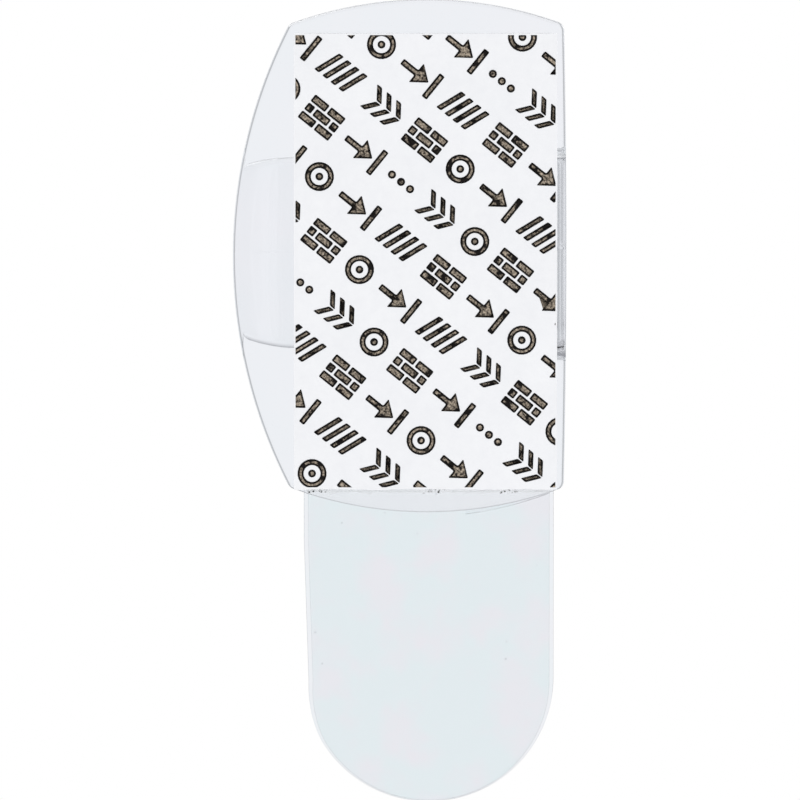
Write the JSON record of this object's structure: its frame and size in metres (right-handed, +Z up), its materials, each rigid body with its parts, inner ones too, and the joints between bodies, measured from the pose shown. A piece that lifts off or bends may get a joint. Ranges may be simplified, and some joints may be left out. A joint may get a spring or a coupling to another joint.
{
  "type": "adhesive cable clip",
  "caption": "Clear moulded cable clip: a bowed plate with a springy snap arm, stuck to a stretch-release adhesive strip with a white wall-side liner and a rounded clear pull tab.",
  "frame": {"origin": "centre of the outer face of the wall liner, the face that goes to the wall", "axes": "+Z up the wall with the pull tab pointing down, +Y into the wall, +X towards the side where the cable snaps in"},
  "size_m": [0.0201, 0.0107, 0.0485],
  "materials": {
    "clear_plastic": "gloss",
    "adhesive": "satin",
    "clear_film": "satin",
    "liner_paper": "satin"
  },
  "bodies": {
    "clip": {"clip_plate": "clear_plastic"},
    "arm": {"snap_arm": "clear_plastic"},
    "strip": {"wall_adhesive": "adhesive", "strip_core": "clear_film", "clip_adhesive": "adhesive"},
    "tab": {"pull_tab": "clear_film", "tab_film_wall_side": "clear_film", "tab_film_clip_side": "clear_film"},
    "liner": {"wall_liner": "liner_paper"}
  },
  "joints": [
    {"name": "arm_flex", "type": "hinge", "parent": "clip", "child": "arm", "pos_m": [-0.00849, -0.0025, 0.0003], "axis": [0, 0, -1], "range_deg": [0, 16], "stiffness_Nm_per_rad": 0.4},
    {"name": "strip_pull", "type": "slide", "parent": "clip", "child": "strip", "axis": [0, 0, -1], "range_m": [0, 0.032]},
    {"name": "tab_bend", "type": "hinge", "parent": "strip", "child": "tab", "pos_m": [-0.0002, -0.00045, -0.0158], "axis": [1, 0, 0], "range_deg": [-90, 90], "stiffness_Nm_per_rad": 0.003},
    {"name": "liner_peel", "type": "hinge", "parent": "strip", "child": "liner", "pos_m": [0, 0, 0.01382], "axis": [1, 0, 0], "range_deg": [0, 160]}
  ]
}
